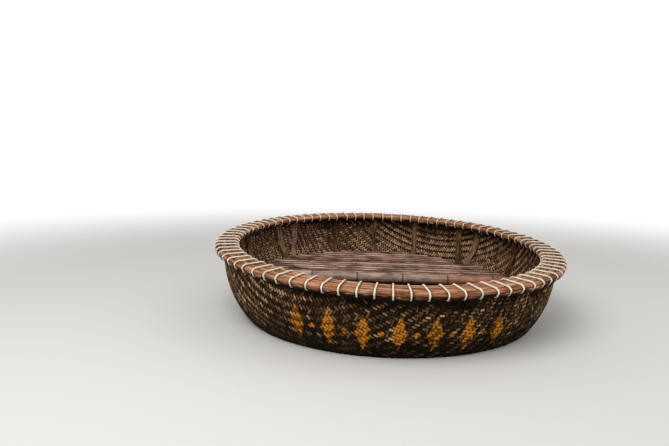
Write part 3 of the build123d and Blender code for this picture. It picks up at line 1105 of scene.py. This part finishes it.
def joint_rows(low, high, first, most, bench, chance):
    """Places of the joints along a strip, and the cuts at each of them and at both its sides."""
    rows = []
    row = low + bench.joint_pitch * chance.uniform(*first)
    while row < high:
        rows.append(row)
        row += bench.joint_pitch * chance.uniform(0.86, most)
    return rows, [row + side * bench.joint_width for row in rows for side in (-0.5, 0.0, 0.5)]


def bamboo_rib(node, name, bench, lengthwise, chance):
    """A rib on the line of its solid: its two inner edges rounded, joints across its back."""
    fresh()
    piece = node.copy()
    piece.data = node.data.copy()
    bpy.context.collection.objects.link(piece)
    piece.hide_render = False
    piece.parent = None
    edit_all(piece)
    bpy.ops.mesh.remove_doubles(threshold=0.00002)
    bpy.ops.mesh.dissolve_limited(angle_limit=math.radians(0.5))

    def inner_edge(edge):
        """Whether it is one of the long edges that face the inside of the bowl."""
        if len(edge.link_faces) != 2 or edge.calc_face_angle() < 1.0:
            return False
        facing = edge.link_faces[0].normal + edge.link_faces[1].normal
        place = (edge.verts[0].co + edge.verts[1].co) / 2
        ends = abs(edge.verts[0].co.z - edge.verts[1].co.z) < DOUBLES and place.z > 0.4
        return facing.dot(OVER_THE_BOWL - place) > 0 and not ends

    pick(piece, "EDGE", inner_edge)
    bpy.ops.mesh.bevel(offset=bench.rib_round, segments=3, affect="EDGES")
    axis = (0, 1, 0) if lengthwise else (1, 0, 0)
    reach = [v.co.dot(Vector(axis)) for v in piece.data.vertices]
    low, high = min(reach), max(reach)
    plain_end = 0.12
    rows, cuts = joint_rows(low, high - plain_end, (0.35, 0.75), 1.1, bench, chance)
    for cut in cuts:
        slice_at([a * cut for a in axis], axis)
    # a cut that only just misses a corner leaves a sliver, which goes before the doubles are merged
    bpy.ops.mesh.select_all(action="SELECT")
    bpy.ops.mesh.dissolve_degenerate(threshold=CLOSE_BY)
    fresh()
    mark_bamboo(piece, rows, axis, bench, chance.random())
    close_up(piece, 40.0)
    make_uneven(piece, name, 0.09, 0.002, len(rows))
    return piece


def mark_bamboo(piece, rows, axis, bench, tone, across=None):
    """Lift a strip's joints out of its upper face, and mark joints, edges and tone for the material."""
    shape = bmesh.new()
    shape.from_mesh(piece.data)
    joint, edge, own = (shape.verts.layers.float.new(label) for label in ("joint", "edge", "piece"))
    row_reach, least_rise = 0.0004, 0.05
    for vertex in shape.verts:
        along = vertex.co.dot(Vector(axis))
        vertex[own] = tone
        vertex[edge] = across(vertex.co) if across else 0.0
        if any(abs(along - row) < row_reach for row in rows):
            vertex[joint] = 1.0
            if vertex.normal.dot(OVER_THE_BOWL - vertex.co) > 0 and vertex.normal.z > least_rise:
                vertex.co += vertex.normal * bench.joint_rise
    shape.to_mesh(piece.data)
    shape.free()


class BOAT_OT_ribs(bpy.types.Operator):
    """Lay the lengthwise ribs on the mat and the crosswise ribs over them"""
    bl_idname = "boat.ribs"
    bl_label = "Ribs"

    def execute(self, context):
        boat = context.scene.basket_boat
        shades = boat.shades
        chance = random.Random(8)
        for label, grain in (("lengthwise", (3, 90, 60)), ("crosswise", (90, 3, 60))):
            finish = worn_bamboo(
                f"split_bamboo_rib_{label}", shades, shades.rib_dark, shades.rib, shades.rib_light, grain)
            for name in sorted(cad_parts):
                if name.startswith("rib_" + label):
                    piece = bamboo_rib(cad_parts[name], name, boat.bench, label == "lengthwise", chance)
                    hand_over(piece, f"{label}_rib_{name[-1]}", finish, [name])
        return {"FINISHED"}


def bamboo_slat(name, low, high, bench, chance):
    """A split-bamboo slat in the box from low to high: a crowned back, worn edges and raised joints."""
    fresh()
    bpy.ops.mesh.primitive_cube_add(size=1.0, location=(low + high) / 2)
    piece = bpy.context.object
    piece.scale = high - low
    settle(piece)
    edit(piece)
    middle = (low.y + high.y) / 2
    half = (high.y - low.y) / 2
    for level in (-0.7, -0.38, 0.0, 0.38, 0.7):
        slice_at((0, middle + level * half, 0), (0, 1, 0))
    plain_end, longest_step = 0.04, 0.07
    rows, cuts = joint_rows(low.x, high.x - plain_end, (0.15, 0.9), 1.12, bench, chance)
    steps = max(2, int((high.x - low.x) / longest_step))
    cuts += [low.x + (high.x - low.x) * step / steps for step in range(1, steps)]
    for cut in cuts:
        slice_at((cut, 0, 0), (1, 0, 0))
    fresh()
    for vertex in piece.data.vertices:
        if vertex.co.z > low.z + 0.001:
            vertex.co.z -= bench.crown * ((vertex.co.y - middle) / half) ** 2
    # the edge mark grows towards the slat's long edges, where the material paints shade
    mark_bamboo(piece, rows, (1, 0, 0), bench, chance.random(), lambda place: abs(place.y - middle) / half)
    modify(piece, "BEVEL", width=bench.edge, segments=2, limit_method="ANGLE", angle_limit=math.radians(50))
    make_uneven(piece, name, 0.07, 0.0022, len(rows))
    close_up(piece, 45.0)
    return piece


class BOAT_OT_bench(bpy.types.Operator):
    """Lay the slats of the bench, and finish its front pole and bearers"""
    bl_idname = "boat.bench"
    bl_label = "Bench"

    def execute(self, context):
        boat = context.scene.basket_boat
        shades, bench = boat.shades, boat.bench
        chance = random.Random(3)
        slats = worn_bamboo("foot_worn_bamboo_slats", shades,
                            shades.slat_dark, shades.slat, shades.slat_light, (110, 4, 9))
        pole = bamboo_culm("round_bamboo_pole", shades, bench, (120, 5, 5), True)
        bearers = bamboo_culm("round_bamboo_bearers", shades, bench, (5, 120, 5), False)
        for name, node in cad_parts.items():
            if name.startswith("bench_slat"):
                low, high = (Vector(corner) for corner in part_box(name))
                piece = bamboo_slat(name, low, high, bench, chance)
                hand_over(piece, name.replace("bench_", ""), slats, [name])
            elif name.startswith("bench_"):
                coat(node, pole if name == "bench_front_pole" else bearers)
        return {"FINISHED"}


def seen_share(add):
    """One for what the camera, a reflection or a clear surface sees, and zero for the light on the boat."""
    path = add("LightPath").outputs
    seen = add("Math.MAXIMUM", [path["Is Camera Ray"], path["Is Glossy Ray"]])
    return add("Math.MAXIMUM", [seen, path["Is Transmission Ray"]])


def studio_paper(shades, stage):
    """Matt studio paper: pale, and white in the distance for the camera and for reflections."""
    finish, add, place = new_material("matt_studio_paper")
    flat = add("VectorMath.MULTIPLY", [place, (1, 1, 0)])
    distance = add("VectorMath.LENGTH", [flat]).outputs["Value"]
    far = add("MapRange", {
        "Value": distance, "From Min": stage.fade_start, "From Max": stage.fade_end},
        interpolation_type="SMOOTHSTEP")
    share = add("Math.MULTIPLY", [far, seen_share(add)])
    paper = add("BsdfPrincipled", {"Base Color": shades.floor, "Roughness": 0.9})
    white = add("Emission", {"Color": (1, 1, 1), "Strength": 1.0})
    mixed = add("MixShader", [share, paper, white])
    add("OutputMaterial", {"Surface": mixed})
    return finish


def studio_floor(boat):
    """The floor: an open ring whose inner edge lies inside the thickness of the wall."""
    stage, bowl = boat.stage, boat.bowl
    normal = Vector((-math.sin(stage.heel), math.sin(stage.trim), math.cos(stage.trim)))
    normal.normalize()
    middle = normal * stage.draught

    def on_floor(x, y):
        """Height of the tilted floor at a place."""
        return middle.z - (normal.x * (x - middle.x) + normal.y * (y - middle.y)) / normal.z

    fresh()
    bpy.ops.mesh.primitive_circle_add(vertices=192, radius=stage.floor_reach, fill_type="NOTHING")
    floor = bpy.context.object
    edit_all(floor)
    bpy.ops.mesh.extrude_edges_move()
    share = 1.0 / stage.floor_reach
    bpy.ops.transform.resize(value=(share, share, 1), center_override=(0, 0, 0))
    fresh()
    # the ring's inner vertices, 1 m out, come step by step to the wall at the floor's height
    for vertex in floor.data.vertices:
        azimuth = math.atan2(vertex.co.y, vertex.co.x)
        if vertex.co.to_2d().length < 2:
            radius = bowl.wall
            for _ in range(12):
                height = on_floor(radius * math.cos(azimuth), radius * math.sin(azimuth))
                radius = wall_radius_at(bowl, height) - bowl.thickness / 2
            vertex.co.x, vertex.co.y = radius * math.cos(azimuth), radius * math.sin(azimuth)
        vertex.co.z = on_floor(vertex.co.x, vertex.co.y)
    edit_all(floor)
    bpy.ops.mesh.normals_make_consistent(inside=False)
    fresh()
    if floor.data.polygons[0].normal.z < 0:
        floor.data.flip_normals()
    floor.name = "studio_floor"
    coat(floor, studio_paper(boat.shades, stage))


def studio_camera(stage, scene):
    """The camera where the photographer stood."""
    camera_data = bpy.data.cameras.new("camera")
    camera_data.lens = stage.lens
    camera_data.sensor_width = 36.0
    camera = bpy.data.objects.new("camera", camera_data)
    camera.location = (stage.camera_x, stage.camera_y, stage.camera_z)
    camera.rotation_euler = (stage.tilt, stage.roll, stage.swing)
    scene.collection.objects.link(camera)
    scene.camera = camera


def studio_lamps(stage, scene):
    """A large soft light and a fill light, both turned to the boat."""
    lamps = (("key_light", (-1.8, -2.6, 4.2), 3.4, stage.key),
             ("fill_light", (3.2, -1.0, 3.2), 3.0, stage.fill))
    for name, place, size, power in lamps:
        lamp_data = bpy.data.lights.new(name, "AREA")
        lamp_data.shape = "DISK"
        lamp_data.size = size
        lamp_data.energy = power
        lamp = bpy.data.objects.new(name, lamp_data)
        lamp.location = place
        lamp.rotation_euler = (Vector((0, 0, 0.3)) - Vector(place)).to_track_quat("-Z", "Y").to_euler()
        scene.collection.objects.link(lamp)


def studio_world(stage, scene):
    """Even light from all round, which the camera and reflections see as white."""
    world = bpy.data.worlds.new("studio")
    add = start_nodes(world)
    light = add("Background", {"Color": (1, 1, 1), "Strength": stage.sky})
    white = add("Background", {"Color": (1, 1, 1), "Strength": 1.0})
    mixed = add("MixShader", [seen_share(add), light, white])
    add("OutputWorld", {"Surface": mixed})
    scene.world = world
    scene.view_settings.view_transform = "Standard"


class BOAT_OT_stage(bpy.types.Operator):
    """Set the floor at the waterline, the camera, the lights and the white surroundings"""
    bl_idname = "boat.stage"
    bl_label = "Stage"

    def execute(self, context):
        boat = context.scene.basket_boat
        studio_floor(boat)
        studio_camera(boat.stage, context.scene)
        studio_lamps(boat.stage, context.scene)
        studio_world(boat.stage, context.scene)
        return {"FINISHED"}


operators = (BOAT_OT_resin, BOAT_OT_weave, BOAT_OT_strips, BOAT_OT_hoops, BOAT_OT_lashings, BOAT_OT_ribs,
             BOAT_OT_bench, BOAT_OT_stage)


class BOAT_PT_panel(bpy.types.Panel):
    """Steps that dress the boat, in order"""
    bl_idname = "BOAT_PT_panel"
    bl_label = "Basket boat"
    bl_space_type = "VIEW_3D"
    bl_region_type = "UI"
    bl_category = "Basket boat"

    def draw(self, context):
        for step in operators:
            self.layout.operator(step.bl_idname)


groups = (BowlSizes, WeaveSizes, RimSizes, BenchSizes, PaintSizes, BoatColours, StageSizes, BoatSettings)


def register():
    """Register the sizes, the steps and the panel."""
    for item in (*groups, *operators, BOAT_PT_panel):
        bpy.utils.register_class(item)
    bpy.types.Scene.basket_boat = bpy.props.PointerProperty(type=BoatSettings)


def unregister():
    """Take the panel, the steps and the sizes away again."""
    del bpy.types.Scene.basket_boat
    for item in reversed((*groups, *operators, BOAT_PT_panel)):
        bpy.utils.unregister_class(item)


def main():
    """Dress the boat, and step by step."""
    register()
    for step in operators:
        family, action = step.bl_idname.split(".")
        getattr(getattr(bpy.ops, family), action)()


if __name__ == "__main__":
    main()
